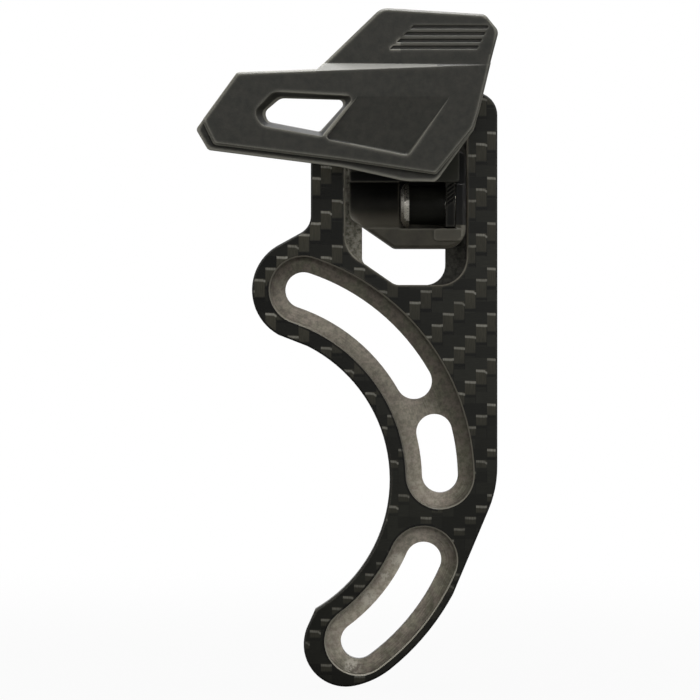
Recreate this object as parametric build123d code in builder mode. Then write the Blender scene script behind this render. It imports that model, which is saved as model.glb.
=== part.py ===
from build123d import *
import os
from math import cos, sin, sqrt, tan, radians

# Chain guide for a bicycle, in millimetres.
# The origin is on the bottom bracket's axis, in the plane where the plate meets the frame.
# +X is forward, +Z up and +Y inboard, so a height is measured outboard of that plane, along -Y.
os.makedirs("parts", exist_ok=True)

# Fits
slide_clearance = 0.1
key_clearance = 0.15
thread_clearance = 0.05
hole_clearance = 0.2
running_gap = 0.3

# Backplate and its slots on the bolt circle
plate_thickness = 4.0
slot_circle_radius = 36.5
slot_width = 6.6
counterbore_width = 12.1
counterbore_depth = 1.6
long_slot_start = 29.6
long_slot_end = 71.6
short_slot_start = 1.5
short_slot_end = 13.8
low_slot_start = -53.6
low_slot_end = -23.6
inner_margin = 3.15
outer_margin = 1.5
lobe_margin = 3.3
low_lobe_radius = 7.7
low_lobe_inset = 0.84
low_lobe_lead = 3.65
low_lobe_entry_angle = -78
low_lobe_middle_angle = -142
low_lobe_exit_angle = 153
top_lobe_entry_angle = -118.7
top_lobe_exit_angle = 121.3
low_bight_angle = 6.2
top_bight_angle = 8.2
low_limb_angle = 2.1
top_limb_angle = 4.6
neck_slope = 0.55
neck_radius = 3.5
shoulder_radius = 3.0
plate_corner_radius = 4.2
flank_drop = 1.65
flank_radius = 20.0
plate_edge_break = 0.35
rim_break = 0.3

# Window of the plate and the pocket round it, on the front for the carrier
window_left = 22.25
window_width = 15.2
window_rise = -0.95
window_corner = 2.0
window_foot_corner = 3.7
window_slope_corners = (1.5, 2.5)
corner_run = 6.0
corner_rise = 4.15
ledge_left = 3.05
ledge_right = 3.85
ledge_top = 2.6
pocket_corner = 2.5
pocket_foot_corner = 5.0
pocket_slope_corner = 5.4
pocket_depth = 1.6
rear_recess_depth = 1.0
left_rail = 6.3
right_rail = 5.6
top_rail = 2.9
shoulder_run = 9.3
shoulder_rise = 10.7

# Carrier, and how far it slides in the window
travel_down = 5.8
travel_up = 6.0
foot_gap = 0.75
carrier_height = 17.4
carrier_gap_left = 0.7
carrier_gap_right = 0.4
carrier_corner_rise = 5.6
carrier_corner_radius = 3.4
carrier_small_radius = 1.0
carrier_slope_radius = 1.5
carrier_front = 10.8
block_front = 9.8
carrier_wall = 1.8
bay_floor = 3.5
bay_half_height = 4.3
bay_length = 10.1
trough_radius = 4.1
pad_width = 5.2
pad_height = 2.2
pad_corner = 0.6
pad_rise = 0.3
lip_break = 0.5
key_tail = 2.0
key_drop = 0.5

# Cross screw, M4, with its washer and sleeve
screw_radius = 2.0
screw_height = 7.8
screw_lift = 7.8
head_radius = 3.8
head_length = 0.85
head_dome = 0.55
head_slope = 62
socket_width = 2.5
socket_depth = 1.1
washer_radius = 4.1
washer_thickness = 0.6
sleeve_radius = 3.5
sleeve_length = 6.5
cross_insert_radius = 2.5

# Height screws, M3, with the strip that they pull against the ledges
small_screw_radius = 1.5
small_head_radius = 2.75
small_head_length = 1.7
small_socket_width = 2.0
small_insert_radius = 2.2
small_insert_length = 5.0
screw_end_gap = 1.0
height_screw_spacing = 7.2
block_depth = 5.3
strip_thickness = 1.8
strip_height = 8.2
strip_corner = 2.0

# Guide: the chain runs between its inner wall and the flap, under the bridge
inner_wall_height = 11.2
inner_wall_thickness = 2.0
inner_wall_lift = 4.0
inner_wall_slant = 3.6
inner_wall_floor = 9.2
inner_wall_radii = [1.0, 2.0, 0.6, 0, 0]
guide_right_gap = 1.2
channel_width = 6.6
parting_height = 16.2
bridge_lift = 10.1
bridge_thickness = 2.6
boss_radius = 3.2
boss_inset = 0.35
boss_root = 1.4
head_gap = 0.5
arm_thickness = 1.7
arm_front = 11.8
fork_hold = 1.5
shelf_thickness = 1.6
cheek_height = 4.9
travel_inboard = 0.8
travel_outboard = 1.2
notch_count = 5
notch_pitch = 0.75
notch_width = 0.35
notch_depth = 0.35
notch_start = 0.6
notch_angle = 38

# Flap: a flat upper tab, and a lower part that flares outboard towards its tip
flap_thickness = 2.4
flap_rear_layer = 1.0
flap_groove = 0.35
flare_angle = 2.9
flare_hinge = 4.8
ramp_stop = 7.5
ramp_root = 0.4
flap_edge_break = 0.35
panel_tilt = 4.0
panel_line = 14.75
panel_clear = 1.0
panel_draft = 20
rib_count = 4
rib_pitch = 1.2
rib_groove = 0.6
rib_depth = 0.4
rib_start = (-12.6, 23.2)
rib_end = 2.9


def face(height):
    """Plane parallel to the plate, at that height outboard of the mounting plane."""
    return Plane.XZ.offset(height)


def across(x):
    """Plane square to +X. Its own axes are +Y and +Z."""
    return Plane.YZ.offset(x)


def polar(radius, angle, centre=(0, 0)):
    """Point at an angle in degrees from +X, counted towards +Z."""
    return (centre[0] + radius * cos(radians(angle)), centre[1] + radius * sin(radians(angle)))


# Sizes that follow from the ones above
plate_inner_radius = slot_circle_radius - counterbore_width / 2 - inner_margin
limb_radius = slot_circle_radius + counterbore_width / 2 + outer_margin
lobe_radius = counterbore_width / 2 + lobe_margin
window_bottom = slot_circle_radius + window_rise
window_right = window_left + window_width
carrier_bottom = window_bottom + travel_down + foot_gap
carrier_top = carrier_bottom + carrier_height
key_top = carrier_top - key_drop
window_top = key_top + travel_up + hole_clearance
corner_slope = corner_rise / corner_run
pocket_left = window_left - ledge_left
pocket_right = window_right + ledge_right
pocket_top = window_top + ledge_top
pocket_floor = plate_thickness - pocket_depth
panel_left = pocket_left - left_rail
panel_right = pocket_right + right_rail
panel_top = pocket_top + top_rail
carrier_back = pocket_floor + slide_clearance
carrier_left = pocket_left + carrier_gap_left
carrier_right = pocket_right - carrier_gap_right
key_back = rear_recess_depth - slide_clearance
screw_z = carrier_bottom + screw_lift
wall_inner = carrier_right - carrier_wall
arm_right = wall_inner - slide_clearance
arm_left = arm_right - arm_thickness
sleeve_right = arm_left - slide_clearance
sleeve_left = sleeve_right - sleeve_length
washer_left = sleeve_left - washer_thickness
height_screw_z = carrier_top - block_depth / 2
height_screw_x = (window_left + window_right) / 2
guide_left = carrier_left
guide_right = carrier_right - guide_right_gap
guide_bottom = screw_z + inner_wall_lift
shelf_bottom = carrier_top + running_gap
shelf_top = shelf_bottom + shelf_thickness
arm_rear = screw_height - travel_outboard - fork_hold
flange_front = arm_rear - travel_inboard - running_gap
flap_back = inner_wall_height + inner_wall_thickness + channel_width
bridge_radius = shelf_top + bridge_lift
bridge_middle = bridge_radius + bridge_thickness / 2
bridge_outer = bridge_radius + bridge_thickness
left_boss_x = guide_left + boss_radius + boss_inset
right_boss_z = shelf_top + small_head_radius + head_gap
boss_places = [
    (left_boss_x, sqrt(bridge_middle**2 - left_boss_x**2)),
    (sqrt(bridge_middle**2 - right_boss_z**2), right_boss_z),
]
boss_length = flap_back + boss_root - parting_height
height_screw_places = [
    (height_screw_x - height_screw_spacing / 2, height_screw_z),
    (height_screw_x + height_screw_spacing / 2, height_screw_z),
]

# Paths of the slots along the bolt circle
long_path = CenterArc((0, 0), slot_circle_radius, long_slot_start, long_slot_end - long_slot_start)
short_path = CenterArc((0, 0), slot_circle_radius, short_slot_start, short_slot_end - short_slot_start)
low_path = CenterArc((0, 0), slot_circle_radius, low_slot_start, low_slot_end - low_slot_start)
joined_path = CenterArc((0, 0), slot_circle_radius, short_slot_start, long_slot_end - short_slot_start)

# Outlines of the window and the pocket, which share their lower left slope
window_corners = [
    (window_left, window_top),
    (window_left, window_bottom + corner_rise),
    (window_left + corner_run, window_bottom),
    (window_right, window_bottom),
    (window_right, window_top),
]
window_radii = [window_corner, *window_slope_corners, window_foot_corner, window_corner]
pocket_corners = [
    (pocket_left, pocket_top),
    (pocket_left, window_bottom + corner_rise + ledge_left * corner_slope),
    (window_left + corner_run, window_bottom),
    (pocket_right, window_bottom),
    (pocket_right, pocket_top),
]
pocket_radii = [pocket_corner, pocket_slope_corner, window_slope_corners[1], pocket_foot_corner, pocket_corner]

# Backplate: carbon plate, a limb round the bolt circle and a panel above it
top_lobe = polar(slot_circle_radius, long_slot_end)
low_lobe = polar(slot_circle_radius - low_lobe_inset, low_slot_start - low_lobe_lead)
flank_foot = polar(limb_radius, low_slot_end - top_limb_angle)
limb_end = polar(limb_radius, low_slot_start + low_limb_angle)
limb_end_angle = radians(low_slot_start + low_limb_angle)
low_lobe_start = polar(low_lobe_radius, low_lobe_entry_angle, low_lobe)
low_lobe_middle = polar(low_lobe_radius, low_lobe_middle_angle, low_lobe)
low_lobe_end = polar(low_lobe_radius, low_lobe_exit_angle, low_lobe)
bight_start = polar(plate_inner_radius, low_slot_start - low_bight_angle)
bight_end = polar(plate_inner_radius, long_slot_end - top_bight_angle)
top_lobe_start = polar(lobe_radius, top_lobe_entry_angle, top_lobe)
top_lobe_end = polar(lobe_radius, top_lobe_exit_angle, top_lobe)
neck_z = top_lobe_end[1] + neck_slope * (panel_left - top_lobe_end[0])

with BuildPart() as backplate:
    with BuildSketch(face(0)):
        with BuildLine():
            FilletPolyline(
                top_lobe_end,
                (panel_left, neck_z),
                (panel_left, panel_top - shoulder_rise),
                (panel_left + shoulder_run, panel_top),
                (panel_right, panel_top),
                (panel_right, -flank_drop),
                flank_foot,
                radius=[neck_radius, shoulder_radius, shoulder_radius, plate_corner_radius, flank_radius],
            )
            ThreePointArc(flank_foot, polar(limb_radius, (low_slot_start + low_slot_end) / 2), limb_end)
            TangentArc(limb_end, low_lobe_start, tangent=(sin(limb_end_angle), -cos(limb_end_angle)))
            ThreePointArc(low_lobe_start, low_lobe_middle, low_lobe_end)
            Line(low_lobe_end, bight_start)
            ThreePointArc(bight_start, polar(plate_inner_radius, 0), bight_end)
            Line(bight_end, top_lobe_start)
            ThreePointArc(top_lobe_start, polar(lobe_radius, 180, top_lobe), top_lobe_end)
        make_face()
    extrude(amount=plate_thickness - plate_edge_break)
    extrude(backplate.faces().sort_by(Axis.Y)[0], amount=plate_edge_break, taper=45)
    with BuildSketch(face(plate_thickness)):
        SlotArc(joined_path, counterbore_width)
        SlotArc(low_path, counterbore_width)
    extrude(amount=-counterbore_depth, mode=Mode.SUBTRACT)
    # Broken edge round the recesses and the pocket
    with BuildSketch(face(plate_thickness)):
        SlotArc(joined_path, counterbore_width + 2 * rim_break)
        SlotArc(low_path, counterbore_width + 2 * rim_break)
        with BuildLine():
            FilletPolyline(pocket_corners, radius=pocket_radii, close=True)
            offset(amount=rim_break)
        make_face()
    extrude(amount=-rim_break, taper=45, mode=Mode.SUBTRACT)
    with BuildSketch(face(plate_thickness)):
        for path in (long_path, short_path, low_path):
            SlotArc(path, slot_width)
    extrude(amount=-plate_thickness, mode=Mode.SUBTRACT)
    with BuildSketch(face(plate_thickness)):
        with BuildLine():
            FilletPolyline(pocket_corners, radius=pocket_radii, close=True)
        make_face()
    extrude(amount=-pocket_depth, mode=Mode.SUBTRACT)
    with BuildSketch(face(0)):
        with BuildLine():
            FilletPolyline(pocket_corners, radius=pocket_radii, close=True)
        make_face()
    extrude(amount=rear_recess_depth, mode=Mode.SUBTRACT)
    with BuildSketch(face(0)):
        with BuildLine():
            FilletPolyline(window_corners, radius=window_radii, close=True)
        make_face()
    extrude(amount=plate_thickness, mode=Mode.SUBTRACT)
backplate.part.label = "backplate"

# Carrier: moulded slider with a bay for the cross screw, a trough for the key that turns it,
# and a block above that the guide's saddle slides on
bay_left = wall_inner - bay_length
carrier_radii = [carrier_small_radius] + 2 * [carrier_slope_radius] + [carrier_corner_radius, carrier_small_radius]
with BuildPart() as carrier:
    with BuildSketch(face(carrier_back)):
        with BuildLine():
            FilletPolyline(
                (carrier_left, carrier_top),
                (carrier_left, carrier_bottom + carrier_corner_rise),
                (carrier_left + carrier_corner_rise / corner_slope, carrier_bottom),
                (carrier_right, carrier_bottom),
                (carrier_right, carrier_top),
                radius=carrier_radii,
                close=True,
            )
        make_face()
    extrude(amount=carrier_front - carrier_back)
    lip_edges = carrier.faces().sort_by(Axis.Y)[0].outer_wire().edges()
    chamfer(lip_edges, lip_break)
    with BuildSketch(face(carrier_front)):
        with Locations((carrier_right - pad_width / 2 - lip_break, screw_z - bay_half_height - pad_height / 2)):
            RectangleRounded(pad_width, pad_height, pad_corner)
    extrude(amount=pad_rise)
    # Front of the block, set back from the guide's inner wall
    with BuildSketch(face(carrier_front)):
        with Locations((carrier_left, guide_bottom - running_gap)):
            Rectangle(carrier_right - carrier_left, carrier_height, align=(Align.MIN, Align.MIN))
    extrude(amount=block_front - carrier_front, mode=Mode.SUBTRACT)
    # Bay for the screw, and the slot above it for the guide's arm
    with BuildSketch(face(carrier_front + pad_rise)):
        with Locations((bay_left, screw_z)):
            Rectangle(bay_length, 2 * bay_half_height, align=(Align.MIN, Align.CENTER))
        with Locations((sleeve_right, screw_z)):
            Rectangle(wall_inner - sleeve_right, carrier_height, align=(Align.MIN, Align.MIN))
    extrude(amount=bay_floor - carrier_front - pad_rise, mode=Mode.SUBTRACT)
    # Step at the upper left for the guide's cheek
    with BuildSketch(face(carrier_front)):
        with Locations((carrier_left, shelf_top - cheek_height - running_gap)):
            Rectangle(arm_thickness + 2 * slide_clearance, carrier_height, align=(Align.MIN, Align.MIN))
    extrude(amount=flange_front - carrier_front, mode=Mode.SUBTRACT)
    # Trough, half round at its back and open to the front and to the left
    with BuildSketch(across(carrier_left)):
        with Locations((-screw_height, screw_z)):
            Circle(trough_radius)
            Rectangle(carrier_front, 2 * trough_radius, align=(Align.MAX, Align.CENTER))
    extrude(amount=bay_left - carrier_left, mode=Mode.SUBTRACT)
    # Key that runs in the window, with the window's own corners at its top
    with BuildSketch(face(carrier_back)) as key_outline:
        with Locations((height_screw_x, key_top)):
            Rectangle(window_width - 2 * key_clearance, key_top - screw_z + key_tail, align=(Align.CENTER, Align.MAX))
        fillet(key_outline.vertices().group_by(Axis.Y)[-1], window_corner)
    extrude(amount=key_back - carrier_back)
    # Holes for the height screws and their moulded-in inserts
    with BuildSketch(face(key_back)):
        with Locations(*height_screw_places):
            Circle(small_screw_radius + hole_clearance)
    extrude(amount=block_front - key_back - screw_end_gap, mode=Mode.SUBTRACT)
    with BuildSketch(face(carrier_back)):
        with Locations(*height_screw_places):
            Circle(small_insert_radius)
    extrude(amount=small_insert_length, mode=Mode.SUBTRACT)
    # Hole for the cross screw's insert, through the right wall
    with BuildSketch(across(wall_inner)):
        with Locations((-screw_height, screw_z)):
            Circle(cross_insert_radius)
    extrude(amount=carrier_wall, mode=Mode.SUBTRACT)
carrier.part.label = "carrier"

# Rear strip: bridges the window behind the ledges and takes the height screws
with BuildPart() as rear_strip:
    with BuildSketch(face(key_back - strip_thickness)):
        with Locations((height_screw_x, height_screw_z)):
            RectangleRounded(carrier_right - carrier_left - 2 * running_gap, strip_height, strip_corner)
    extrude(amount=strip_thickness)
    with BuildSketch(face(key_back - strip_thickness)):
        with Locations(*height_screw_places):
            Circle(small_screw_radius + hole_clearance)
    extrude(amount=strip_thickness, mode=Mode.SUBTRACT)
    sink_edges = rear_strip.faces().sort_by(Axis.Y)[-1].inner_wires().edges()
    chamfer(sink_edges, small_head_radius - small_screw_radius - hole_clearance)
rear_strip.part.label = "rear_clamp_plate"

# Height screws, countersunk in the strip, and their inserts
head_face = key_back - strip_thickness
head_cone = small_head_radius - small_screw_radius - hole_clearance
for side, place in zip(("left", "right"), height_screw_places):
    with BuildPart() as height_screw:
        with BuildSketch(face(head_face)):
            with Locations(place):
                Circle(small_head_radius - hole_clearance)
        extrude(amount=head_cone, taper=45)
        with BuildSketch(face(head_face)):
            with Locations(place):
                Circle(small_screw_radius)
        extrude(amount=block_front - head_face - 2 * screw_end_gap)
        with BuildSketch(face(head_face)):
            with Locations(place):
                RegularPolygon(small_socket_width / 2, 6, major_radius=False)
        extrude(amount=head_cone, mode=Mode.SUBTRACT)
    height_screw.part.label = f"height_screw_{side}"
    export_step(height_screw.part, f"parts/height_screw_{side}.step")
    with BuildPart() as height_insert:
        with BuildSketch(face(carrier_back)):
            with Locations(place):
                Circle(small_insert_radius)
                Circle(small_screw_radius + thread_clearance, mode=Mode.SUBTRACT)
        extrude(amount=small_insert_length)
    height_insert.part.label = f"height_insert_{side}"
    export_step(height_insert.part, f"parts/height_insert_{side}.step")

# Cross screw with its low head at the left, in reach of a key laid in the trough
with BuildPart() as cross_screw:
    with BuildSketch(across(washer_left)):
        with Locations((-screw_height, screw_z)):
            Circle(screw_radius)
    extrude(amount=carrier_right - washer_left - running_gap)
    with BuildSketch(across(washer_left)):
        with Locations((-screw_height, screw_z)):
            Circle(head_radius)
    extrude(amount=head_dome - head_length)
    extrude(cross_screw.faces().sort_by(Axis.X)[0], amount=head_dome, taper=head_slope)
    with BuildSketch(across(washer_left - head_length)):
        with Locations((-screw_height, screw_z)):
            RegularPolygon(socket_width / 2, 6, major_radius=False)
    extrude(amount=socket_depth, mode=Mode.SUBTRACT)
cross_screw.part.label = "cross_screw"

with BuildPart() as cross_washer:
    with BuildSketch(across(washer_left)):
        with Locations((-screw_height, screw_z)):
            Circle(washer_radius)
            Circle(screw_radius + hole_clearance, mode=Mode.SUBTRACT)
    extrude(amount=washer_thickness)
cross_washer.part.label = "cross_washer"

with BuildPart() as clamp_sleeve:
    with BuildSketch(across(sleeve_left)):
        with Locations((-screw_height, screw_z)):
            Circle(sleeve_radius)
            Circle(screw_radius + hole_clearance, mode=Mode.SUBTRACT)
    extrude(amount=sleeve_length)
clamp_sleeve.part.label = "clamp_sleeve"

with BuildPart() as cross_insert:
    with BuildSketch(across(wall_inner)):
        with Locations((-screw_height, screw_z)):
            Circle(cross_insert_radius)
            Circle(screw_radius + thread_clearance, mode=Mode.SUBTRACT)
    extrude(amount=carrier_wall)
cross_insert.part.label = "cross_insert"

# Inner guide: wall inboard of the chain, saddle behind it, half of the bridge in front
with BuildPart() as inner_guide:
    with BuildSketch(face(inner_wall_height)):
        with BuildLine():
            FilletPolyline(
                (guide_left, guide_bottom + inner_wall_slant),
                (guide_right - inner_wall_floor, guide_bottom),
                (guide_right, guide_bottom),
                (guide_right, bridge_outer),
                (guide_left, bridge_outer),
                radius=inner_wall_radii,
                close=True,
            )
        make_face()
        Circle(bridge_outer, mode=Mode.INTERSECT)
        with Locations(*boss_places):
            Circle(boss_radius)
    extrude(amount=inner_wall_thickness)
    # Bridge over the chain, concentric with the chainring
    with BuildSketch(face(inner_wall_height)):
        with Locations(((guide_left + guide_right) / 2, bridge_outer)):
            Rectangle(guide_right - guide_left - 2 * running_gap, bridge_outer)
        Circle(bridge_outer, mode=Mode.INTERSECT)
        Circle(bridge_radius, mode=Mode.SUBTRACT)
        with Locations(*boss_places):
            Circle(boss_radius)
    extrude(amount=parting_height - inner_wall_height)
    # Shelf that lies over the carrier's block, with a cheek down its left side
    with BuildSketch(face(arm_rear)):
        with Locations((guide_left + slide_clearance, shelf_top)):
            Rectangle(arm_right - guide_left - slide_clearance, shelf_thickness, align=(Align.MIN, Align.MAX))
            Rectangle(arm_thickness, cheek_height, align=(Align.MIN, Align.MAX))
    extrude(amount=inner_wall_height - arm_rear)
    # Forked arm at the right, between the sleeve and the carrier's wall
    with BuildSketch(across(arm_left)):
        with Locations((-arm_rear, shelf_top)):
            Rectangle(
                inner_wall_height - arm_rear,
                shelf_top - screw_z + bay_half_height - running_gap,
                align=(Align.MAX, Align.MAX),
            )
        with Locations((-arm_front, guide_bottom + inner_wall_thickness)):
            Rectangle(
                arm_front - arm_rear,
                inner_wall_lift + inner_wall_thickness + bay_half_height - running_gap,
                align=(Align.MIN, Align.MAX),
            )
        with Locations((-screw_height - travel_inboard, screw_z)):
            Circle(screw_radius + hole_clearance, mode=Mode.SUBTRACT)
            Rectangle(
                arm_front,
                2 * (screw_radius + hole_clearance),
                align=(Align.MIN, Align.CENTER),
                mode=Mode.SUBTRACT,
            )
    extrude(amount=arm_thickness)
    # Fine notches across the front edge of the arm
    with BuildSketch(face(arm_front)):
        for step in range(notch_count):
            with Locations(((arm_left + arm_right) / 2, guide_bottom - notch_pitch * (step + notch_start))):
                Rectangle(3 * arm_thickness, notch_width, rotation=notch_angle)
    extrude(amount=-notch_depth, mode=Mode.SUBTRACT)
    # Holes for the flap's screws
    with BuildSketch(face(inner_wall_height)):
        with Locations(*boss_places):
            Circle(small_screw_radius + hole_clearance)
    extrude(amount=parting_height - inner_wall_height, mode=Mode.SUBTRACT)
inner_guide.part.label = "inner_guide"

# Flap: the front half of the cage, one moulding
flare_tan = tan(radians(flare_angle))
flare_x = Vector(cos(radians(flare_angle)), sin(radians(flare_angle)), 0)
flare_z = Vector(sin(radians(flare_angle)), -cos(radians(flare_angle)), 0)


def flap_face(height):
    """Plane parallel to the plate, with its zero at the inner wall's lower right corner."""
    return Plane(origin=(guide_right, -height, guide_bottom), x_dir=(1, 0, 0), z_dir=(0, -1, 0))


def flare_face(height):
    """Plane of the lower part, turned about the hinge line, at that height off its back."""
    hinge = Vector(guide_right + flare_hinge, -flap_back, guide_bottom)
    return Plane(origin=hinge - flare_x * flare_hinge + flare_z * height, x_dir=flare_x, z_dir=flare_z)


def panel_face():
    """Floor of the panel: flush with the lower part's front at its upper line, and deeper below that."""
    line = flare_face(flap_thickness).from_local_coords((0, panel_line, 0))
    return Plane(origin=line, x_dir=flare_x, z_dir=flare_z).rotated((panel_tilt, 0, 0))


def flare_rise(x):
    """How much further outboard the lower part's front is than the tab's, at world X."""
    return (guide_right + flare_hinge - x) * flare_tan + flap_thickness / cos(radians(flare_angle)) - flap_thickness


rear_corners = [
    (-39.8, 18.95), (5.25, 20.8), (3.15, 12.1), (2.3, 8.9), (-4.4, -0.3),
    (-9.9, -0.2), (-21.4, 2.3), (-44.9, 5.25), (-47.05, 8.9),
]
rear_radii = [0.8, 0, 4.0, 1.8, 1.0, 6.0, 20.0, 1.0, 0.7]
front_corners = [
    (-39.8, 18.95), (5.25, 20.8), (3.15, 12.1), (2.2, 9.1), (-4.5, 0.9),
    (-21.4, 3.4), (-43.9, 6.1), (-46.0, 10.4),
]
front_radii = [0.8, 0, 4.0, 1.8, 0.8, 20.0, 1.0, 0.7]
tab_corners = [(-26.8, 18.3), (-14.1, 30.55), (4.3, 29.4), (6.75, 26.4), (4.7, 18.6)]
tab_radii = [0, 3.0, 1.5, 1.5, 0]
window_front = [(-33.5, 15.55), (-18.95, 14.75), (-24.65, 7.6), (-35.5, 9.5), (-37.0, 11.9)]
window_back = [(-31.9, 14.4), (-20.1, 14.15), (-25.1, 8.65), (-34.2, 10.4), (-34.7, 12.1)]
window_front_radii = [2.0, 0.6, 0.8, 1.6, 1.6]
window_back_radii = [2.0, 0.8, 0.8, 1.2, 1.2]
panel_corners = [(-17.5, 16.0), (-1.1, 16.0), (-9.7, 4.6), (-24.1, 7.45)]
panel_radii = [0.4, 0.8, 0.6, 0.4]
tab_front = flap_back + flap_thickness
slab_top_slope = (rear_corners[1][1] - rear_corners[0][1]) / (rear_corners[1][0] - rear_corners[0][0])

# Upper tab
with BuildPart() as tab:
    with BuildSketch(flap_face(flap_back)):
        with BuildLine():
            FilletPolyline(tab_corners, radius=tab_radii, close=True)
        make_face()
    extrude(amount=flap_thickness - flap_edge_break)
    extrude(tab.faces().sort_by(Axis.Y)[0], amount=flap_edge_break, taper=45)

# Ramp from the tab up to the lower part, which dies out towards the hinge
with BuildPart() as ramp:
    for x in (guide_right + tab_corners[0][0], guide_right + flare_hinge - ramp_stop):
        edge_z = guide_bottom + rear_corners[0][1] + slab_top_slope * (x - guide_right - rear_corners[0][0])
        step = flare_rise(x) - flap_edge_break
        with BuildSketch(across(x)):
            with BuildLine():
                Polyline(
                    (hole_clearance - tab_front, edge_z - ramp_root),
                    (hole_clearance - tab_front, edge_z + step),
                    (-tab_front, edge_z + step),
                    (-tab_front - step, edge_z),
                    (-tab_front - step, edge_z - ramp_root),
                    close=True,
                )
            make_face()
    loft(ruled=True)
    with BuildSketch(flap_face(flap_back)):
        with BuildLine():
            FilletPolyline(tab_corners, radius=tab_radii, close=True)
        make_face()
    extrude(amount=2 * flap_thickness, mode=Mode.INTERSECT)

with BuildPart() as outer_flap:
    # Lower part: a rear layer, a groove, and a front layer that stands back from the rim
    with BuildSketch(flare_face(0)):
        with BuildLine():
            FilletPolyline(rear_corners, radius=rear_radii, close=True)
        make_face()
    extrude(amount=flap_rear_layer)
    with BuildSketch(flare_face(flap_rear_layer)):
        with BuildLine():
            FilletPolyline(front_corners, radius=front_radii, close=True)
        make_face()
        offset(amount=-flap_groove, mode=Mode.REPLACE)
    extrude(amount=flap_groove)
    with BuildSketch(flare_face(flap_rear_layer + flap_groove)):
        with BuildLine():
            FilletPolyline(front_corners, radius=front_radii, close=True)
        make_face()
    extrude(amount=flap_thickness - flap_edge_break - flap_rear_layer - flap_groove)
    extrude(outer_flap.faces().sort_by(Axis((0, 0, 0), flare_z))[-1], amount=flap_edge_break, taper=45)
    add(tab.part)
    add(ramp.part)
    # Front half of the bridge, with the bosses that take the flap's screws
    with BuildSketch(face(parting_height)):
        with Locations(((guide_left + guide_right) / 2 + running_gap, bridge_outer)):
            Rectangle(guide_right - guide_left - 4 * running_gap, bridge_outer)
        Circle(bridge_outer, mode=Mode.INTERSECT)
        Circle(bridge_radius, mode=Mode.SUBTRACT)
        with Locations(*boss_places):
            Circle(boss_radius)
    extrude(amount=boss_length)
    # Window, its walls drafted, and the shallow panel beside it
    with BuildSketch(flare_face(-hole_clearance)):
        with BuildLine():
            FilletPolyline(window_back, radius=window_back_radii, close=True)
        make_face()
    with BuildSketch(flare_face(flap_thickness)):
        with BuildLine():
            FilletPolyline(window_front, radius=window_front_radii, close=True)
        make_face()
    loft(ruled=True, mode=Mode.SUBTRACT)
    with BuildSketch(panel_face()):
        with BuildLine():
            FilletPolyline([(x, z - panel_line) for x, z in panel_corners], radius=panel_radii, close=True)
        make_face()
    extrude(amount=panel_clear, taper=-panel_draft, mode=Mode.SUBTRACT)
    # Plain grooves across the tab
    with BuildSketch(flap_face(tab_front)):
        for row in range(rib_count):
            with BuildLine():
                groove_z = rib_start[1] + row * rib_pitch
                groove_left = rib_start[0] + row * rib_pitch
                Polyline(
                    (groove_left, groove_z),
                    (rib_end + row * rib_groove, groove_z),
                    (rib_end + (row + 0.5) * rib_groove, groove_z + rib_groove),
                    (groove_left + rib_groove, groove_z + rib_groove),
                    close=True,
                )
            make_face()
    extrude(amount=-rib_depth, mode=Mode.SUBTRACT)
    # Blind holes for the inserts
    with BuildSketch(face(parting_height)):
        with Locations(*boss_places):
            Circle(small_insert_radius)
    extrude(amount=boss_length, mode=Mode.SUBTRACT)
outer_flap.part.label = "outer_flap"

# Flap screws with their heads behind the inner wall, and the inserts in the flap's bosses
for side, place in zip(("left", "right"), boss_places):
    with BuildPart() as flap_screw:
        with BuildSketch(face(inner_wall_height - small_head_length)):
            with Locations(place):
                Circle(small_head_radius)
        extrude(amount=small_head_length)
        chamfer(flap_screw.edges().sort_by(Axis.Y)[-1], small_head_length / 3)
        with BuildSketch(face(inner_wall_height)):
            with Locations(place):
                Circle(small_screw_radius)
        extrude(amount=parting_height - inner_wall_height + boss_length - running_gap)
        with BuildSketch(face(inner_wall_height - small_head_length)):
            with Locations(place):
                RegularPolygon(small_socket_width / 2, 6, major_radius=False)
        extrude(amount=socket_depth, mode=Mode.SUBTRACT)
    flap_screw.part.label = f"flap_screw_{side}"
    export_step(flap_screw.part, f"parts/flap_screw_{side}.step")
    with BuildPart() as flap_insert:
        with BuildSketch(face(parting_height)):
            with Locations(place):
                Circle(small_insert_radius)
                Circle(small_screw_radius + thread_clearance, mode=Mode.SUBTRACT)
        extrude(amount=boss_length)
    flap_insert.part.label = f"flap_insert_{side}"
    export_step(flap_insert.part, f"parts/flap_insert_{side}.step")

for name, piece in (
    ("backplate", backplate),
    ("carrier", carrier),
    ("rear_clamp_plate", rear_strip),
    ("cross_screw", cross_screw),
    ("cross_washer", cross_washer),
    ("clamp_sleeve", clamp_sleeve),
    ("cross_insert", cross_insert),
    ("inner_guide", inner_guide),
    ("outer_flap", outer_flap),
):
    export_step(piece.part, f"parts/{name}.step")
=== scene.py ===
from functools import partial
from math import radians

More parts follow.
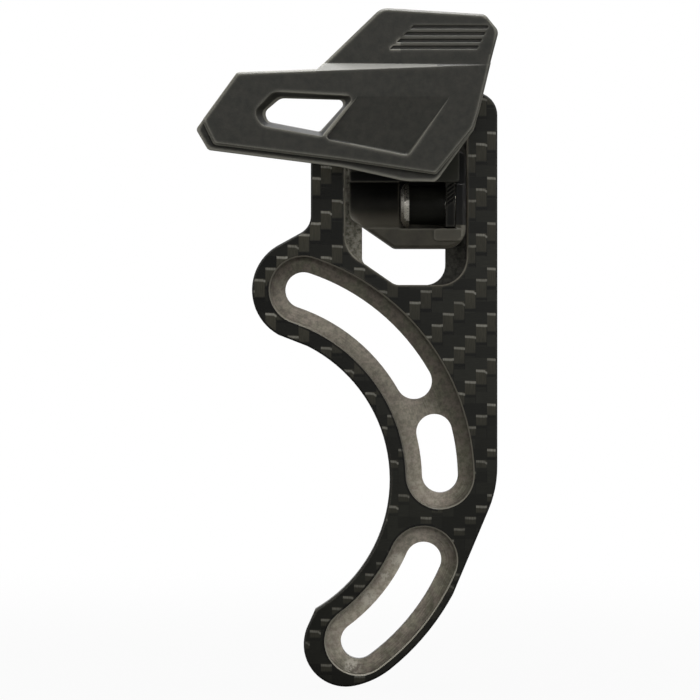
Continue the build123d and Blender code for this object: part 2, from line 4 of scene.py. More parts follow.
import bpy
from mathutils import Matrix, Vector


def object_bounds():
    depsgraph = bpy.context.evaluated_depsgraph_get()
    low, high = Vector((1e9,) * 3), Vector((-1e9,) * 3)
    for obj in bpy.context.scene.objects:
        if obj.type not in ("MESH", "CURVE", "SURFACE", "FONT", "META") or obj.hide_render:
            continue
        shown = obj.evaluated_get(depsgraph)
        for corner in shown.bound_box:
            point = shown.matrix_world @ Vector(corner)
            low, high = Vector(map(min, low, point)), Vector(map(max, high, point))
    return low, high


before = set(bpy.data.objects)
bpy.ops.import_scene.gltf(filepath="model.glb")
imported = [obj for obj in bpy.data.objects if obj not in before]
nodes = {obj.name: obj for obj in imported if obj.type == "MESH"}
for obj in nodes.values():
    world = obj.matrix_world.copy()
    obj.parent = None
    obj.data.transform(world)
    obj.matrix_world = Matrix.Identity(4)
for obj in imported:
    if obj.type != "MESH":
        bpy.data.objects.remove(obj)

# Chain guide for a bicycle: +X forward, +Z up, outboard along -Y. Sizes in the dictionaries are
# in mm, and colours are hex values as they look on screen
mm = 0.001
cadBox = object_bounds()

# Settings that many nodes share
times = {"operation": "MULTIPLY"}
smooth = {"interpolation_type": "SMOOTHSTEP"}
colours = {"data_type": "RGBA"}
tint = {"data_type": "RGBA", "blend_type": "MULTIPLY"}


# A hex value turned to the linear colour that shaders want
def hexColour(text):
    channels = [int(text[i:i + 2], 16) / 255 for i in (1, 3, 5)]
    linear = [c / 12.92 if c <= 0.04045 else ((c + 0.055) / 1.055) ** 2.4 for c in channels]
    return (*linear, 1.0)


# Adds one node. inputs is a list for the sockets in use, in their order, or a dictionary by name.
# A node among them is linked from its first output in use, and an output is linked itself
def addNode(tree, kind, inputs=(), **settings):
    node = tree.nodes.new("ShaderNode" + kind)
    for name, value in settings.items():
        setattr(node, name, value)
    if isinstance(inputs, dict):
        pairs = [(node.inputs[name], value) for name, value in inputs.items()]
    else:
        pairs = zip([socket for socket in node.inputs if socket.enabled], inputs)
    for socket, value in pairs:
        if isinstance(value, bpy.types.Node):
            value = next(output for output in value.outputs if output.enabled)
        if isinstance(value, bpy.types.NodeSocket):
            tree.links.new(value, socket)
        else:
            socket.default_value = value
    return node


# A new material, with addNode for its own tree
def newMaterial(name):
    material = bpy.data.materials.new(name)
    material.use_nodes = True
    material.node_tree.nodes.clear()
    return material, partial(addNode, material.node_tree)


# A smooth change, given as start and end in mm and the level at each, turned to metres
def inMetres(change):
    start, end, levelAtStart, levelAtEnd = change
    return start * mm, end * mm, levelAtStart, levelAtEnd


# Middle and half width in metres of a span in mm, as the Compare setting takes them
def span(low, high):
    return (low + high) / 2 * mm, (high - low) / 2 * mm


# 1 inside a box on X and Z, given by its limits in mm, and 0 outside it
def insideBox(add, x, z, spanX, spanZ):
    return add("Math", [add("Math", [x, *span(*spanX)], operation="COMPARE"),
                        add("Math", [z, *span(*spanZ)], operation="COMPARE")], **times)


# Twill carbon laminate under clear resin, its recesses cut by a round cutter. That gives black cloth with a
# painted sheen on its upright tows, bends that glint one by one as painted highlights, and matt grey-brown
# floors with thin pale edges, partly painted highlight
carbonLook = {
    "towAcrossMm": 2.02,        # width of one upright tow of the cloth
    "towUpMm": 2.064,           # and of one level tow
    "shiftXMm": -0.59,          # slides the weave along X on the plate
    "shiftZMm": 2.53,           # and along Z
    "filamentMm": (0.12048, 2.0),   # width and length, drawn far coarser than real ones to show
    "weftDark": "#10100d",      # tows that lie across
    "weftLight": "#1a1a16",
    "warpLow": "#2a2923",       # tows that stand up, painted lighter than the level ones as a sheen, at the foot of a float
    "warpHigh": "#3a382f",      # and near its top, where the painted sheen is strongest
    "dive": "#0c0c0a",          # shadow line where a tow passes under
    "crestHighlight": "#8a887f",         # painted highlight on the bend at the top of a float
    "resinRough": 0.24,
    "specular": 0.22,
    "ior": 1.5,
    # Along a float, as a share of its length, and the level at each
    "bodyStart": (0.0, 0.1, 0.0, 1.0),          # past the dark foot
    "diveFoot": (-0.04, 0.06),                  # middle and half width of the dark line there
    "diveSide": 0.93,                           # share of the tow's width where its side turns dark
    "diveDepth": 0.7,
    "crestSlant": 0.03,
    "crestRise": (0.86, 0.92, 0.0, 1.0),
    "crestFall": (0.97, 1.01, 1.0, 0.0),
    "tipAcross": (0.72, 0.95, 0.0, 1.0),        # droop of the bend's right tip
    "tipDroop": (0.3, 0.9, -0.02, 0.07),
    # From a noise's low and high value to the level at each
    "floatTones": (0.0, 1.0, 0.7, 1.1),
    "warpLines": (0.35, 0.65, 0.8, 1.1),
    "weftLines": (0.35, 0.65, 0.85, 1.05),
    "crestLines": (0.35, 0.65, 0.6, 1.0),
    "crestTones": (0.0, 1.0, 0.55, 1.0),
    # Over the plate: start and end in mm, and the level at each
    "footUp": (0, 28, 0.62, 0.14),              # share of a float left out of the painted sheen, up Z
    "floatUp": (-20, 35, 0.35, 1.0),            # strength of the painted sheen on the upright tows, up Z
    "weftForward": (4, 34, 1.0, 2.0),           # painted reflection on the level tows, along X
    "crestUp": (-35, 30, 0.42, 0.9),            # strength of the painted highlights, up Z
}
recessLook = {
    "dark": "#4c483f",          # cut floor of a slot's recess, far from the bottom bracket
    "light": "#928b7f",         # and near it
    "warm": "#7a6d65",          # fibres that show through the cut, in two casts
    "cool": "#72735f",
    "castShare": 0.2,
    "castMm": 1.6,
    "castShiftMm": (31, 0, 17),         # keeps the casts apart from the fibres
    "fibreMm": 0.7,                     # tows that the cutter laid open
    "blotchMm": 3.8462,
    "streakMm": 0.2381,                 # width of a streak, across the cutter's path
    "streaksPerRadian": 9.0,            # along it, so a streak is 4 mm long on the slots' circle
    "circleMm": 36.5,                   # radius of the slots' circle
    "halfMm": 6.05,                     # half the width of a recess
    "pathDegrees": ((1.5, 71.6), (-53.6, -23.6)),   # ends of the cutter's two paths
    "wearAndHighlight": "#c4bfb2",                # pale marks that bolt washers left: X, Z and radius
    "rubMarksMm": [(28.7, -14.6, 1.6), (23.4, -21.6, 2.1), (20.3, -34.1, 2.2), (26.4, -17.6, 1.3)],
    "rubFull": 0.3,                     # share of a mark's radius that is rubbed through
    "rough": 0.6,
    "reliefMm": 0.04,                   # height of the streaks
    "reliefStrength": 0.3,
    # A noise times the first value, plus the second
    "streakTone": (0.8, -0.35),
    "blotchTone": (0.8, -0.4),
    # From a noise's low and high value to the level at each
    "castEdge": (0.4, 0.6, 0.0, 1.0),
    "flecks": (0.3, 0.7, 0.72, 1.22),
    "rubFlecks": (0.38, 0.6, 0.08, 0.8),
    # Start and end in mm, and the level at each
    "outward": (32, 42.5, 1.0, -0.25),          # lightness, away from the bottom bracket
    "toneUp": (-30, 35, 0.3, -0.15),            # and up Z
    "flecksUp": (-10, 20, 1.42, 1.0),
    "lowerTopShade": (-16.5, -10, 0.0, 0.3),    # painted shade up Z, at the top of the lower recess
    "lowerBelowMm": -7.0,                       # the lower recess lies under this height
}
pocketLook = {
    "dark": "#25241f",
    "light": "#45433d",
    "spanXMm": (18.8, 41.7),
    "spanZMm": (35.1, 68.3),
    "lipXMm": (18.2, 42.3),             # span of the painted highlight on the edge outside it
    "lipZMm": (34.5, 68.8),
    "rearTone": 0.7,                    # level of the floor behind, all over
    "flecks": (0.3, 0.65, 0.0, 1.0),
    # Start and end in mm, and the level at each
    "toneForward": (22, 34, 6.4, 0.85),         # painted light: the front floor is lighter at its left
    "frontY": (-1.9, -1.7, 1.0, 0.0),
    "paleRimX": (20.5, 23, 1.0, 0.0),
    "lipY": (-3.2, -3.4, 0.0, 1.0),
}
edgeLook = {
    "sawn": "#171612",          # sawn and sanded outer edge
    "rim": "#6a665c",           # broken edge round a recess
    "rimHighlight": "#8a867a",       # and paler, as a painted highlight, in the lower plate and at the pocket's left
    "rimMm": 0.3,
    "rimMarginsMm": (0.05, 0.02),       # spare width and depth, so that no rim is cut short
    "faceMm": 4.0,                      # height of the plate's front
    "plyMm": 0.25,
    "plyLineMm": (0.08, 0.16, 0.0, 1.0),
    "wallFacing": (0.3, 0.5, 1.0, 0.0), # share of the normal along Y under which a face is a wall
    "darkLineMm": (0.3, 0.6),           # dark line beside a recess
    "darkLine": 0.75,
    "highlightMm": 0.5,                      # how far from an edge its painted highlight reaches
    "highlightSamples": 12,
    "lipHighlight": (0.97, 0.6, 0.0, 1.0),
    "bendHighlight": (0.9, 0.6, 0.0, 1.0),
    "bendRadiusMm": 28.5,               # the lower bend lies within this radius
    # Start and end in mm, and the level at each
    "frontFace": (-3.97, -3.93, 0.0, 1.0),
    "backFace": (-0.07, -0.03, 1.0, 0.0),
    "paleRimUp": (-30, 10, 1.0, 0.0),
    "bendUp": (-4, 14, 0.9, 0.0),
}


# Woven face of the plate: upright tows that float over level ones, each column one row higher
def weaveColour(add, place, x, z):
    look = carbonLook
    # Column and row of the tow, counted in tow widths
    column = add("Math", [x, 1 / (look["towAcrossMm"] * mm), look["shiftXMm"] / look["towAcrossMm"]],
                 operation="MULTIPLY_ADD")
    row = add("Math", [z, 1 / (look["towUpMm"] * mm), look["shiftZMm"] / look["towUpMm"]],
              operation="MULTIPLY_ADD")
    columnIndex = add("Math", [column], operation="FLOOR")
    rowIndex = add("Math", [row], operation="FLOOR")
    acrossTow = add("Math", [column], operation="FRACT")
    # An upright tow is on top for two rows of four, and each next column starts one row higher
    offset = add("Math", [row, columnIndex], operation="SUBTRACT")
    turn = add("Math", [offset, 4.0, 0.0], operation="WRAP")
    onTop = add("Math", [turn, 2.0], operation="LESS_THAN")
    along = add("Math", [turn, 0.5], **times)
    # Each float and each level tow has its own tone, from its column and row
    floatRow = add("Math", [add("Math", [offset, 0.25], **times)], operation="FLOOR")
    floatId = add("CombineXYZ", [columnIndex, floatRow])
    floatTone = add("TexWhiteNoise", [floatId], noise_dimensions="2D")
    towId = add("CombineXYZ", [floatRow, rowIndex])
    towTone = add("TexWhiteNoise", [towId], noise_dimensions="2D")
    across, lengthwise = [1 / (size * mm) for size in look["filamentMm"]]
    warpPlace = add("Mapping", {"Vector": place, "Scale": (across, 1, lengthwise)})
    weftPlace = add("Mapping", {"Vector": place, "Scale": (lengthwise, 1, across)})
    warpNoise = add("TexNoise", {"Vector": warpPlace, "Scale": 1.0, "Detail": 1.0})
    weftNoise = add("TexNoise", {"Vector": weftPlace, "Scale": 1.0, "Detail": 1.0})

    # Painted sheen: the upright tow's light body is tall in the upper plate and short in the lower one
    foot = add("MapRange", [z, *inMetres(look["footUp"])], **smooth)
    pastFoot = add("Math", [along, foot], operation="SUBTRACT")
    body = add("MapRange", [pastFoot, *look["bodyStart"]], **smooth)
    clearness = add("MapRange", [z, *inMetres(look["floatUp"])], **smooth)
    shade = add("Math", [along, 0.5, 0.5], operation="MULTIPLY_ADD")
    for share in (clearness, add("MapRange", [floatTone, *look["floatTones"]], **smooth)):
        shade = add("Math", [shade, share], **times)
    warp = add("Mix", [shade, hexColour(look["warpLow"]), hexColour(look["warpHigh"])], **colours)
    warp = add("Mix", [1.0, warp, add("MapRange", [warpNoise, *look["warpLines"]], **smooth)], **tint)

    # Painted reflection: the level tows are lighter towards the front of the bicycle
    weftTone = add("MapRange", [towTone], **smooth)
    weft = add("Mix", [weftTone, hexColour(look["weftDark"]), hexColour(look["weftLight"])], **colours)
    weftLine = add("Math", [add("MapRange", [weftNoise, *look["weftLines"]], **smooth),
                            add("MapRange", [x, *inMetres(look["weftForward"])], **smooth)], **times)
    weft = add("Mix", [1.0, weft, weftLine], **tint)
    weave = add("Mix", [add("Math", [onTop, body], **times), weft, warp], **colours)

    # Dark where a tow dives: at the foot of a float and down its right side
    dive = add("Math", [add("Math", [pastFoot, *look["diveFoot"]], operation="COMPARE"),
                        add("Math", [acrossTow, look["diveSide"]], operation="GREATER_THAN")],
               operation="MAXIMUM")
    for share in (onTop, clearness, look["diveDepth"]):
        dive = add("Math", [dive, share], **times)
    weave = add("Mix", [dive, weave, hexColour(look["dive"])], **colours)

    # Painted highlight on the bend at a float's top, which slants and droops a little, its filaments glinting
    # unevenly
    droop = add("Math", [add("MapRange", [acrossTow, *look["tipAcross"]], **smooth),
                         add("MapRange", [towTone, *look["tipDroop"]], **smooth)], **times)
    bend = add("Math", [acrossTow, look["crestSlant"], along], operation="MULTIPLY_ADD")
    bend = add("Math", [bend, droop], operation="ADD")
    crestHighlight = add("MapRange", [bend, *look["crestRise"]], **smooth)
    for share in (add("MapRange", [bend, *look["crestFall"]], **smooth), onTop,
                  add("MapRange", [warpNoise, *look["crestLines"]], **smooth),
                  add("MapRange", [floatTone, *look["crestTones"]], **smooth),
                  add("MapRange", [z, *inMetres(look["crestUp"])], **smooth)):
        crestHighlight = add("Math", [crestHighlight, share], **times)
    return add("Mix", [crestHighlight, weave, hexColour(look["crestHighlight"])], **colours)


# Distance from the cutter's path, an arc about the bottom bracket between two angles:
# the point's own angle is held within them, which gives the nearest point of the path
def cutterDistance(add, flat, angle, degrees):
    circle = recessLook["circleMm"] * mm
    held = add("Clamp", [angle, *[radians(end) for end in degrees]])
    nearX = add("Math", [add("Math", [held], operation="COSINE"), circle], **times)
    nearZ = add("Math", [add("Math", [held], operation="SINE"), circle], **times)
    return add("VectorMath", [flat, add("CombineXYZ", {"X": nearX, "Z": nearZ})], operation="DISTANCE")


# Cut floor of the slots' recesses: streaks follow the cutter, fibres and washers' marks show
def recessColour(add, place, z, flat, radius, streaks, fibres):
    look = recessLook
    blotch = add("TexNoise", {"Vector": place, "Scale": 1 / (look["blotchMm"] * mm), "Detail": 3.0,
                              "Roughness": 0.6})
    tone = add("Math", [streaks, *look["streakTone"]], operation="MULTIPLY_ADD")
    for share in (add("MapRange", [radius, *inMetres(look["outward"])], **smooth),
                  add("Math", [blotch, *look["blotchTone"]], operation="MULTIPLY_ADD"),
                  add("MapRange", [z, *inMetres(look["toneUp"])], **smooth)):
        tone = add("Math", [tone, share], operation="ADD")
    colour = add("Mix", [tone, hexColour(look["dark"]), hexColour(look["light"])], **colours)
    shift = [length * mm for length in look["castShiftMm"]]
    castPlace = add("Mapping", {"Vector": place, "Location": shift})
    castNoise = add("TexNoise", {"Vector": castPlace, "Scale": 1 / (look["castMm"] * mm), "Detail": 2.0})
    cast = add("Mix", [add("MapRange", [castNoise, *look["castEdge"]], **smooth),
                       hexColour(look["warm"]), hexColour(look["cool"])], **colours)
    colour = add("Mix", [look["castShare"], colour, cast], **colours)
    flecks = add("Math", [add("MapRange", [fibres, *look["flecks"]], **smooth),
                          add("MapRange", [z, *inMetres(look["flecksUp"])], **smooth)], **times)
    colour = add("Mix", [1.0, colour, flecks], **tint)
    # Painted shade: the lower recess starts darker at its top
    topShade = add("Math", [add("MapRange", [z, *inMetres(look["lowerTopShade"])], **smooth),
                            add("Math", [z, look["lowerBelowMm"] * mm], operation="LESS_THAN")], **times)
    colour = add("Mix", [topShade, colour, hexColour(carbonLook["dive"])], **colours)
    for markX, markZ, markRadius in look["rubMarksMm"]:
        away = add("VectorMath", [flat, (markX * mm, 0, markZ * mm)], operation="DISTANCE")
        reach = inMetres((look["rubFull"] * markRadius, markRadius, 1.0, 0.0))
        mark = add("Math", [add("MapRange", [away, *reach], **smooth),
                            add("MapRange", [fibres, *look["rubFlecks"]], **smooth)], **times)
        colour = add("Mix", [mark, colour, hexColour(look["wearAndHighlight"])], **colours)
    return colour


# Cut floors of the slider's pocket, in front and behind
def pocketColour(add, x, y, fibres):
    look = pocketLook
    colour = add("Mix", [add("MapRange", [fibres, *look["flecks"]], **smooth),
                         hexColour(look["dark"]), hexColour(look["light"])], **colours)
    inFront = add("MapRange", [y, *inMetres(look["frontY"])], **smooth)
    # Painted light: the front floor is lighter at its left
    forward = add("MapRange", [x, *inMetres(look["toneForward"])], **smooth)
    level = add("Mix", [inFront, look["rearTone"], forward], data_type="FLOAT")
    return add("Mix", [1.0, colour, level], **tint)


def makeCarbon():
    material, add = newMaterial("twillCarbonClearCoated")
    place = add("TexCoord").outputs["Object"]
    x, y, z = add("SeparateXYZ", [place]).outputs
    flat = add("CombineXYZ", {"X": x, "Z": z})
    radius = add("VectorMath", [flat], operation="LENGTH")
    angle = add("Math", [z, x], operation="ARCTAN2")
    fromPath = add("Math", [cutterDistance(add, flat, angle, ends) for ends in recessLook["pathDegrees"]],
                   operation="MINIMUM")
    streakPlace = add("CombineXYZ", [add("Math", [angle, recessLook["streaksPerRadian"]], **times),
                                     add("Math", [fromPath, 1 / (recessLook["streakMm"] * mm)], **times)])
    streaks = add("TexNoise", {"Vector": streakPlace, "Scale": 1.0, "Detail": 3.0, "Roughness": 0.6},
                  noise_dimensions="2D")
    fibres = add("TexNoise", {"Vector": place, "Scale": 1 / (recessLook["fibreMm"] * mm), "Detail": 3.0,
                              "Roughness": 0.65})
    weave = weaveColour(add, place, x, z)
    recess = recessColour(add, place, z, flat, radius, streaks, fibres)
    pocket = pocketColour(add, x, y, fibres)

    # Where each of them is
    look = edgeLook
    spareWidth, spareDepth = look["rimMarginsMm"]
    recessReach = recessLook["halfMm"] + look["rimMm"] + spareWidth
    inRecess = add("Math", [fromPath, recessReach * mm], operation="LESS_THAN")
    outsideRecess = add("Math", [1.0, inRecess], operation="SUBTRACT")
    inPocket = add("Math", [insideBox(add, x, z, pocketLook["spanXMm"], pocketLook["spanZMm"]),
                            outsideRecess], **times)
    cut = add("Math", [add("MapRange", [y, *inMetres(look["frontFace"])], **smooth),
                       add("MapRange", [y, *inMetres(look["backFace"])], **smooth)], **times)
    cutColour = add("Mix", [inRecess, hexColour(look["sawn"]), recess], **colours)
    cutColour = add("Mix", [inPocket, cutColour, pocket], **colours)

    # Broken edges, with a painted highlight that makes them pale in the lower plate and at the pocket's left
    onRim = add("Math", [y, *span(-look["faceMm"], look["rimMm"] + spareDepth - look["faceMm"])],
                operation="COMPARE")
    rimHere = add("Math", [onRim, add("Math", [inRecess, inPocket], operation="MAXIMUM")], **times)
    leftRim = add("Math", [inPocket, add("MapRange", [x, *inMetres(pocketLook["paleRimX"])], **smooth)],
                  **times)
    rimHighlight = add("Math", [add("MapRange", [z, *inMetres(look["paleRimUp"])], **smooth), leftRim],
                  operation="MAXIMUM")
    rim = add("Mix", [rimHighlight, hexColour(look["rim"]), hexColour(look["rimHighlight"])], **colours)
    cutColour = add("Mix", [rimHere, cutColour, rim], **colours)

    # Darker along the inner side of a recess, just outside its rim
    nearLine, farLine = look["darkLineMm"]
    darkLine = add("Math", [fromPath, *span(recessLook["halfMm"] + nearLine, recessLook["halfMm"] + farLine)],
                   operation="COMPARE")
    onInnerSide = add("Math", [radius, recessLook["circleMm"] * mm], operation="LESS_THAN")
    for share in (onInnerSide, look["darkLine"]):
        darkLine = add("Math", [darkLine, share], **times)
    weave = add("Mix", [darkLine, weave, hexColour(carbonLook["dive"])], **colours)
    surface = add("Mix", [cut, weave, cutColour], **colours)

    # Painted highlight along the pocket's lip: seen from inside the plate, another face is near there
    thin = add("AmbientOcclusion", {"Distance": look["highlightMm"] * mm}, samples=look["highlightSamples"],
               inside=True, only_local=True).outputs["AO"]
    lip = add("MapRange", [thin, *look["lipHighlight"]], **smooth)
    for share in (insideBox(add, x, z, pocketLook["lipXMm"], pocketLook["lipZMm"]), outsideRecess,
                  add("MapRange", [y, *inMetres(pocketLook["lipY"])], **smooth)):
        lip = add("Math", [lip, share], **times)
    surface = add("Mix", [lip, surface, rim], **colours)
    # Painted highlight along the edges of the inside of the lower bend
    bend = add("MapRange", [z, *inMetres(look["bendUp"])], **smooth)
    for share in (add("Math", [radius, look["bendRadiusMm"] * mm], operation="LESS_THAN"),
                  add("MapRange", [thin, *look["bendHighlight"]], **smooth)):
        bend = add("Math", [bend, share], **times)
    surface = add("Mix", [bend, surface, hexColour(look["rimHighlight"])], **colours)

    # Upright walls show the plies
    normal = add("SeparateXYZ", [add("NewGeometry").outputs["Normal"]])
    facing = add("Math", [normal.outputs["Y"]], operation="ABSOLUTE")
    plies = add("Math", [y, look["plyMm"] * mm], operation="PINGPONG")
    wall = add("Mix", [add("MapRange", [plies, *inMetres(look["plyLineMm"])], **smooth),
                       hexColour(look["sawn"]), hexColour(carbonLook["warpLow"])], **colours)
    surface = add("Mix", [add("MapRange", [facing, *look["wallFacing"]], **smooth), surface, wall],
                  **colours)

    rough = add("MapRange", [cut, 0.0, 1.0, carbonLook["resinRough"], recessLook["rough"]], **smooth)
    relief = add("Math", [streaks, cut], **times)
    bump = add("Bump", {"Height": relief, "Strength": recessLook["reliefStrength"],
                        "Distance": recessLook["reliefMm"] * mm})
    shader = add("BsdfPrincipled", {"Base Color": surface, "Roughness": rough, "Normal": bump,
                                    "IOR": carbonLook["ior"], "Specular IOR Level": carbonLook["specular"]})
    add("OutputMaterial", {"Surface": shader})
    return material


# Strength of a mark that lies in boxes on X and Z in mm, on faces whose normal is turned past
# a least value along one axis
def faceMark(add, x, z, normal, boxes):
    mark = 0.0
    for spanX, spanZ, axis, least, strength in boxes:
        turned = add("Math", [normal.outputs[axis], -1.0 if least < 0 else 1.0], **times)
        turned = add("Math", [turned, abs(least)], operation="GREATER_THAN")
        here = add("Math", [insideBox(add, x, z, spanX, spanZ), turned], **times)
        mark = add("Math", [here, strength, mark], operation="MULTIPLY_ADD")
    return add("Clamp", [mark])


# Glass-filled nylon, moulded in tools with a fine spark-eroded texture. That gives a matt,
# slightly mottled black, with painted highlights along its edges and painted shade in hollows and under the
# flap.
# The grain is drawn a few times coarser than the real texture, so that it shows.
# In the three dictionaries, boxes are spans on X and Z, the normal's axis and least value there,
# and the strength. bare ones get no painted edge highlight, shaded ones get the deep colour as painted shade,
# paler ones the pale edge colour as a painted highlight
nylonLook = {
    "ior": 1.53,
    "mottle": (0.3, 0.7),
    "brokenEdgeMm": 0.3,
    "reliefMm": 0.05,
    "highlightSamples": 12,
    "edgeSamples": 6,
    "highlightStart": 0.97,
    "broadFaces": (0.05, 0.45, 0.3, 1.0),   # most painted highlight on faces along Y and their chamfers
}
# A grey cast, with painted highlights as pale lines along every edge and on the ramp, and painted shade in
# the window and at the ramp's right end
flapLook = {
    "dark": "#1d1e18", "light": "#2e2c26", "wearAndHighlight": "#7b796f", "deep": "#10100d",
    "mottleMm": 1.4286, "grainMm": 0.28, "grainStrength": 0.3,
    "roughness": 0.5, "specular": 0.4,
    "edgeMm": 0.9, "edgeFull": 0.6, "edgeHighlight": 1.0,
    # paler: painted highlight on the ramp. bare: faces kept free of painted edge highlight. shaded: painted
    # shade on the window's lower wall and the ramp's right end
    "paler": [((5, 35.5), (68, 78), "Z", 0.3, 0.3)],
    "bare": [((30, 43), (52, 72), "X", -0.3, 0.6), ((1, 20), (60, 68), "Z", 0.8, 0.85),
             ((29, 45.5), (76.2, 82.4), "Y", -0.9, 0.7)],
    "shaded": [((1, 20), (60, 68), "Z", 0.4, 0.8), ((33, 36.5), (68, 78), "Z", 0.3, 0.3),
               ((36.5, 48), (68, 78), "Z", 0.3, 0.6)],
}
# Nearly black, with little painted edge highlight, and a greyer bridge above the arm; the arm's near black is
# painted shade under the flap
guideLook = {
    "dark": "#0d0d0b", "light": "#141411", "wearAndHighlight": "#4c4a43", "deep": "#30302a",
    "mottleMm": 2.381, "grainMm": 0.28, "grainStrength": 0.3,
    "roughness": 0.45, "specular": 0.12,
    "edgeMm": 0.6, "edgeFull": 0.5, "edgeHighlight": 0.3,
    "deepUp": (53.4, 54.0, 0.0, 1.0),       # start and end in mm up Z, and the level at each; below it the arm stays nearly black as painted shade
    "paler": [], "bare": [], "shaded": [],
}
# Brown-grey, with painted light on the trough's lower rear wall, and painted shade turning it black towards
# the top of its trough and on its right wall
carrierLook = {
    "dark": "#34322c", "light": "#454239", "wearAndHighlight": "#6a675d", "deep": "#060605",
    "mottleMm": 3.3333, "grainMm": 0.3, "grainStrength": 0.2,
    "roughness": 0.42, "specular": 0.18,
    "edgeMm": 0.5, "edgeFull": 0.5, "edgeHighlight": 0.6,
    # Painted shade, black towards the top of the trough: start and end in mm up Z, and the level at each
    "deepUp": (46.2, 52.6, 0.0, 1.0),
    "troughPaintedLight": "#6a665c",                   # painted light on the trough's rear wall, near its foot
    "troughLightInboard": (-10.6, -9.5, 0.0, 1.0),
    "troughLightUp": (46.2, 49.6, 1.0, 0.0),
    # paler: painted highlights at the lip's right corner. bare and shaded: the right wall, kept free of
    # painted edge highlight and darkened with painted shade
    "paler": [((35.3, 39.9), (43.6, 45.9), "Y", -0.3, 0.25), ((40.0, 41.5), (44.2, 46.2), "Y", -0.05, 0.8)],
    "bare": [((38.6, 45), (46.3, 70), "Y", -0.05, 0.9)],
    "shaded": [((38.6, 45), (46.3, 70), "Y", -0.05, 0.85)],
}


def makeNylon(name, look):
    material, add = newMaterial(name)
    place = add("TexCoord").outputs["Object"]
    x, y, z = add("SeparateXYZ", [place]).outputs
    trueNormal = add("SeparateXYZ", [add("NewGeometry").outputs["True Normal"]])
    mottle = add("TexNoise", {"Vector": place, "Scale": 1 / (look["mottleMm"] * mm), "Detail": 4.0,
                              "Roughness": 0.65})
    spread = add("MapRange", [mottle, *nylonLook["mottle"]])
    colour = add("Mix", [spread, hexColour(look["dark"]), hexColour(look["light"])], **colours)
    # Painted shade that changes up Z: the carrier turns black towards the top of its trough, and the guide's
    # arm under the flap stays nearly black below its greyer bridge
    if "deepUp" in look:
        deep = add("MapRange", [z, *inMetres(look["deepUp"])], **smooth)
        colour = add("Mix", [deep, colour, hexColour(look["deep"])], **colours)
    # Painted light on the carrier's trough floor near its foot
    if "troughPaintedLight" in look:
        troughLight = add("Math", [add("MapRange", [y, *inMetres(look["troughLightInboard"])], **smooth),
                             add("MapRange", [z, *inMetres(look["troughLightUp"])], **smooth)], **times)
        colour = add("Mix", [troughLight, colour, hexColour(look["troughPaintedLight"])], **colours)
    # Painted shade in the shaded boxes, painted highlight in the paler ones
    for boxes, cast in (look["shaded"], look["deep"]), (look["paler"], look["wearAndHighlight"]):
        colour = add("Mix", [faceMark(add, x, z, trueNormal, boxes), colour, hexColour(cast)], **colours)

    # Painted highlight: edges are painted paler where, seen from inside the moulding, another face is near
    # there
    thin = add("AmbientOcclusion", {"Distance": look["edgeMm"] * mm}, samples=nylonLook["highlightSamples"],
               inside=True, only_local=True).outputs["AO"]
    rounded = add("Bevel", {"Radius": nylonLook["brokenEdgeMm"] * mm}, samples=nylonLook["edgeSamples"])
    broad = add("Math", [add("SeparateXYZ", [rounded]).outputs["Y"]], operation="ABSOLUTE")
    edgeLit = add("MapRange", [thin, nylonLook["highlightStart"], look["edgeFull"], 0.0, look["edgeHighlight"]], **smooth)
    unmarked = add("Math", [1.0, faceMark(add, x, z, trueNormal, look["bare"])], operation="SUBTRACT")
    for share in (unmarked, add("MapRange", [broad, *nylonLook["broadFaces"]], **smooth)):
        edgeLit = add("Math", [edgeLit, share], **times)
    colour = add("Mix", [edgeLit, colour, hexColour(look["wearAndHighlight"])], **colours)

    grain = add("TexNoise", {"Vector": place, "Scale": 1 / (look["grainMm"] * mm), "Detail": 2.0,
                             "Roughness": 0.55})
    bump = add("Bump", {"Height": grain, "Strength": look["grainStrength"],
                        "Distance": nylonLook["reliefMm"] * mm, "Normal": rounded})
    shader = add("BsdfPrincipled", {"Base Color": colour, "Roughness": look["roughness"], "Normal": bump,
                                    "IOR": nylonLook["ior"], "Specular IOR Level": look["specular"]})
    add("OutputMaterial", {"Surface": shader})
    return material


# Turned metal: the tool leaves polished and dull patches of markMm, coarser than real so they show
metalLook = {"polishEdge": (0.4, 0.6), "markStrength": 0.1, "markDepthMm": 0.02}
# Stainless steel, a pale warm mirror with a soft glint
steelLook = {"dark": "#c8c3b8", "light": "#e4e0d6", "markMm": 0.25, "roughness": (0.27, 0.4),
             "metallic": 1.0, "specular": 0.5}
# Brass, yellow and a little duller
brassLook = {"dark": "#b08a45", "light": "#cfab62", "markMm": 0.3, "roughness": (0.3, 0.4),
             "metallic": 1.0, "specular": 0.5}
# Anodised aluminium: its oxide layer is clear and dyed black, so it shines like glass over black
anodisedLook = {"dark": "#10100d", "light": "#1c1c18", "markMm": 0.3, "roughness": (0.4, 0.5),
                "metallic": 0.0, "specular": 0.1}


def makeMetal(name, look):
    material, add = newMaterial(name)
    place = add("TexCoord").outputs["Object"]
    marks = add("TexNoise", {"Vector": place, "Scale": 1 / (look["markMm"] * mm), "Detail": 2.0})
    colour = add("Mix", [marks, hexColour(look["dark"]), hexColour(look["light"])], **colours)
    rough = add("MapRange", [marks, *metalLook["polishEdge"], *look["roughness"]], **smooth)
    bump = add("Bump", {"Height": marks, "Strength": metalLook["markStrength"],
                        "Distance": metalLook["markDepthMm"] * mm})
    shader = add("BsdfPrincipled", {"Base Color": colour, "Metallic": look["metallic"], "Roughness": rough,
                                    "Specular IOR Level": look["specular"], "Normal": bump})
    add("OutputMaterial", {"Surface": shader})
    return material


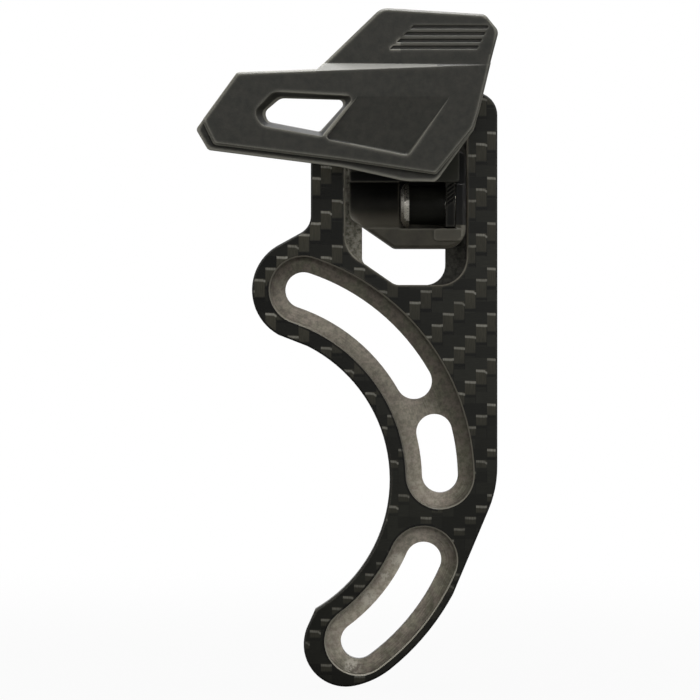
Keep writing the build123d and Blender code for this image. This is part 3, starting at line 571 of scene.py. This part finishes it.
steel = makeMetal("stainlessSteelTurned", steelLook)
brass = makeMetal("brassKnurled", brassLook)
finishes = {
    "backplate": makeCarbon(),
    "carrier": makeNylon("mouldedNylonBlack", carrierLook),
    "inner_guide": makeNylon("glassFilledNylonBlack", guideLook),
    "outer_flap": makeNylon("glassFilledNylonGrey", flapLook),
    "clamp_sleeve": makeMetal("aluminiumBlackAnodised", anodisedLook),
}
print("materials made")

for name, node in nodes.items():
    finish = finishes.get(name) or (brass if "insert" in name else steel)
    node.data.materials.clear()
    node.data.materials.append(finish)
print("finishes given to", len(nodes), "pieces")

# Camera where the photograph was taken from: level, 0.7 m in front of the plate
cameraLook = {"xMm": 20.04, "zMm": 23.69, "distanceMm": 700.0, "faceMm": 4.0, "lensMm": 197.6,
              "sensorMm": 36.0, "clipStartMm": 10.0}
collection = bpy.context.scene.collection
cameraData = bpy.data.cameras.new("camera")
cameraData.sensor_width = cameraLook["sensorMm"]
cameraData.lens = cameraLook["lensMm"]
cameraData.clip_start = cameraLook["clipStartMm"] * mm
camera = bpy.data.objects.new("camera", cameraData)
collection.objects.link(camera)
camera.location = (cameraLook["xMm"] * mm, -(cameraLook["distanceMm"] + cameraLook["faceMm"]) * mm,
                   cameraLook["zMm"] * mm)
camera.rotation_euler = (radians(90), 0, 0)
bpy.context.scene.camera = camera

# Round soft boxes, each with its place and width in metres and its watts, turned to the part
lampTarget = Vector((0.02, -0.01, 0.024))
lamps = {
    "topLamp": ((0.02, -0.05, 0.75), 0.5, 11.0),
    "frontLamp": ((0.0, -0.75, 0.42), 0.3, 1.2),
    "shineLamp": ((0.12, -0.8, 0.05), 0.3, 0.16),   # the glint on the washer
    "leftLamp": ((-0.68, -0.45, 0.06), 0.5, 2.5),
    "rightLamp": ((0.7, -0.45, 0.06), 0.5, 2.6),
    "backLamp": ((0.1, 0.9, 0.4), 0.7, 4.0),
}
for name, (spot, width, watts) in lamps.items():
    lampData = bpy.data.lights.new(name, "AREA")
    lampData.shape = "DISK"
    lampData.size = width
    lampData.energy = watts
    lamp = bpy.data.objects.new(name, lampData)
    lamp.location = spot
    lamp.rotation_euler = (lampTarget - Vector(spot)).to_track_quat("-Z", "Y").to_euler()
    collection.objects.link(lamp)

# White all round for the camera. What the object mirrors is the white sheet behind and above it,
# and a dim room in front
studioLook = {"ambient": 0.12, "roomInFront": 0.05, "sheetBehind": 1.0, "roomToSheet": (-0.5, 0.4)}
world = bpy.data.worlds.new("studio")
bpy.context.scene.world = world
world.use_nodes = True
world.node_tree.nodes.clear()
add = partial(addNode, world.node_tree)
ray = add("LightPath").outputs
way = add("SeparateXYZ", [add("TexCoord").outputs["Generated"]])
mirrored = add("MapRange", [way.outputs["Y"], *studioLook["roomToSheet"], studioLook["roomInFront"],
                            studioLook["sheetBehind"]], **smooth)
isMirrored = add("Math", [ray["Is Glossy Ray"], ray["Is Transmission Ray"]], operation="MAXIMUM")
level = add("Mix", [isMirrored, studioLook["ambient"], mirrored], data_type="FLOAT")
level = add("Mix", [ray["Is Camera Ray"], level, 1.0], data_type="FLOAT")
sky = add("Background", {"Color": (1, 1, 1, 1), "Strength": level})
add("OutputWorld", {"Surface": sky})

# White paper under the plate's lowest point. It keeps a faint shadow and turns white further out
floorLook = {"gapMm": 0.2, "sizeMm": 6000.0, "tone": "#5c5c5a", "whiteOut": (60, 400, 0.95, 1.0)}
floorMaterial, add = newMaterial("studioPaper")
away = add("VectorMath", [add("TexCoord").outputs["Object"]], operation="LENGTH")
white = add("Math", [add("MapRange", [away, *inMetres(floorLook["whiteOut"])], **smooth),
                     add("LightPath").outputs["Is Camera Ray"]], **times)
paper = add("BsdfDiffuse", {"Color": hexColour(floorLook["tone"])})
glow = add("Emission", {"Color": (1, 1, 1, 1), "Strength": 1.0})
add("OutputMaterial", {"Surface": add("MixShader", [white, paper, glow])})
half = floorLook["sizeMm"] * mm / 2
floorZ = cadBox[0][2] - floorLook["gapMm"] * mm
corners = [(-half, -half, floorZ), (half, -half, floorZ), (half, half, floorZ), (-half, half, floorZ)]
floorMesh = bpy.data.meshes.new("floor")
floorMesh.from_pydata(corners, [], [(0, 1, 2, 3)])
floorMesh.materials.append(floorMaterial)
floor = bpy.data.objects.new("floor", floorMesh)
collection.objects.link(floor)
print("stage set")

bpy.context.scene.view_settings.view_transform = "Standard"
